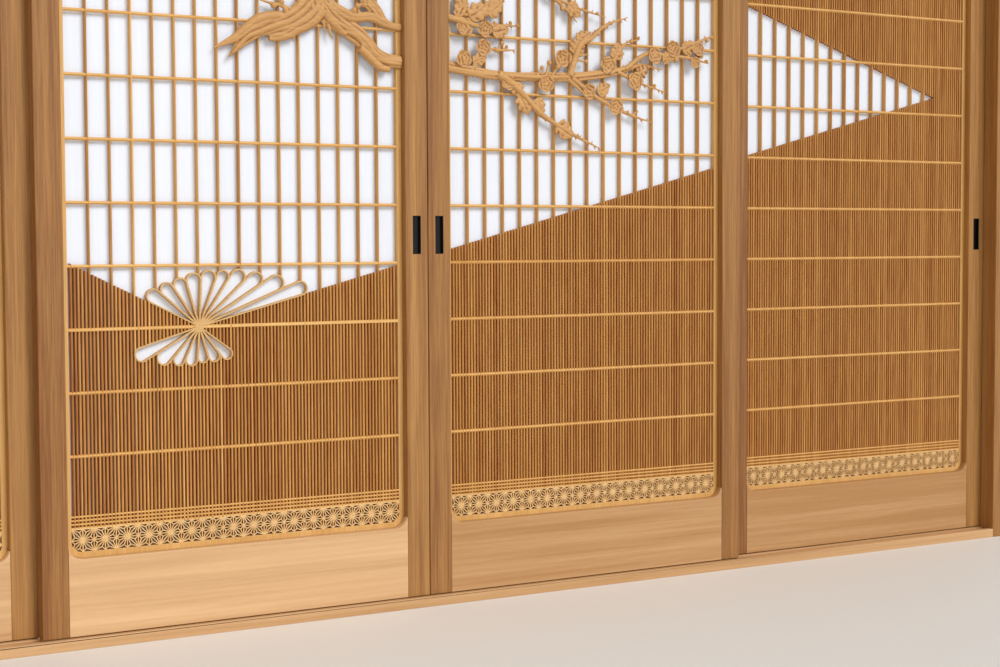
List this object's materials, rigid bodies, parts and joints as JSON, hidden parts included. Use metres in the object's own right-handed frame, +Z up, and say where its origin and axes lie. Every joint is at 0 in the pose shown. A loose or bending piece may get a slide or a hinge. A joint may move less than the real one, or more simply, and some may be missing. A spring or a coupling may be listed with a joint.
{
  "type": "shoji sliding screen",
  "caption": "Wooden shoji screen whose paper-backed lattice leaves slide past each other in a grooved frame.",
  "frame": {"origin": "middle of the sill's underside, on the floor", "axes": "+X along the screen, +Y away from the viewer, +Z up"},
  "size_m": [3.78, 0.096, 2.0205],
  "materials": {
    "frame_wood": "planed softwood, matt",
    "stile": "planed softwood, aged, satin",
    "rail": "planed softwood, satin",
    "border": "planed softwood, light, satin",
    "lattice": "fine planed softwood strips",
    "carving": "carved softwood, matt",
    "paper": "translucent white screen paper",
    "pull": "black lacquered metal"
  },
  "bodies": {
    "frame": {"sill": "frame_wood", "head": "frame_wood", "jamb_left": "frame_wood", "jamb_right": "frame_wood"},
    "leaf_1": {"leaf_1_stile_left": "stile", "leaf_1_stile_right": "stile", "leaf_1_bottom_rail": "rail", "leaf_1_top_rail": "rail", "leaf_1_runners": "stile", "leaf_1_border": "border", "leaf_1_paper": "paper", "leaf_1_uprights": "lattice", "leaf_1_slats": "lattice", "leaf_1_crossbars": "lattice", "leaf_1_mesh_bars": "lattice", "leaf_1_hemp_band": "lattice", "leaf_1_pulls": "pull"},
    "leaf_2": {"leaf_2_stile_left": "stile", "leaf_2_stile_right": "stile", "leaf_2_bottom_rail": "rail", "leaf_2_top_rail": "rail", "leaf_2_runners": "stile", "leaf_2_border": "border", "leaf_2_paper": "paper", "leaf_2_uprights": "lattice", "leaf_2_slats": "lattice", "leaf_2_crossbars": "lattice", "leaf_2_mesh_bars": "lattice", "leaf_2_hemp_band": "lattice", "leaf_2_pulls": "pull", "leaf_2_fan": "lattice", "leaf_2_pine": "carving"},
    "leaf_3": {"leaf_3_stile_left": "stile", "leaf_3_stile_right": "stile", "leaf_3_bottom_rail": "rail", "leaf_3_top_rail": "rail", "leaf_3_runners": "stile", "leaf_3_border": "border", "leaf_3_paper": "paper", "leaf_3_uprights": "lattice", "leaf_3_slats": "lattice", "leaf_3_crossbars": "lattice", "leaf_3_mesh_bars": "lattice", "leaf_3_hemp_band": "lattice", "leaf_3_pulls": "pull", "leaf_3_plum": "carving"},
    "leaf_4": {"leaf_4_stile_left": "stile", "leaf_4_stile_right": "stile", "leaf_4_bottom_rail": "rail", "leaf_4_top_rail": "rail", "leaf_4_runners": "stile", "leaf_4_border": "border", "leaf_4_paper": "paper", "leaf_4_uprights": "lattice", "leaf_4_slats": "lattice", "leaf_4_crossbars": "lattice", "leaf_4_mesh_bars": "lattice", "leaf_4_hemp_band": "lattice", "leaf_4_pulls": "pull"}
  },
  "joints": [
    {"name": "leaf_1_slide", "type": "slide", "parent": "frame", "child": "leaf_1", "axis": [1, 0, 0], "range_m": [0, 0.923]},
    {"name": "leaf_2_slide", "type": "slide", "parent": "frame", "child": "leaf_2", "axis": [1, 0, 0], "range_m": [-0.923, 0]},
    {"name": "leaf_3_slide", "type": "slide", "parent": "frame", "child": "leaf_3", "axis": [1, 0, 0], "range_m": [0, 0.923]},
    {"name": "leaf_4_slide", "type": "slide", "parent": "frame", "child": "leaf_4", "axis": [1, 0, 0], "range_m": [-0.923, 0]}
  ]
}
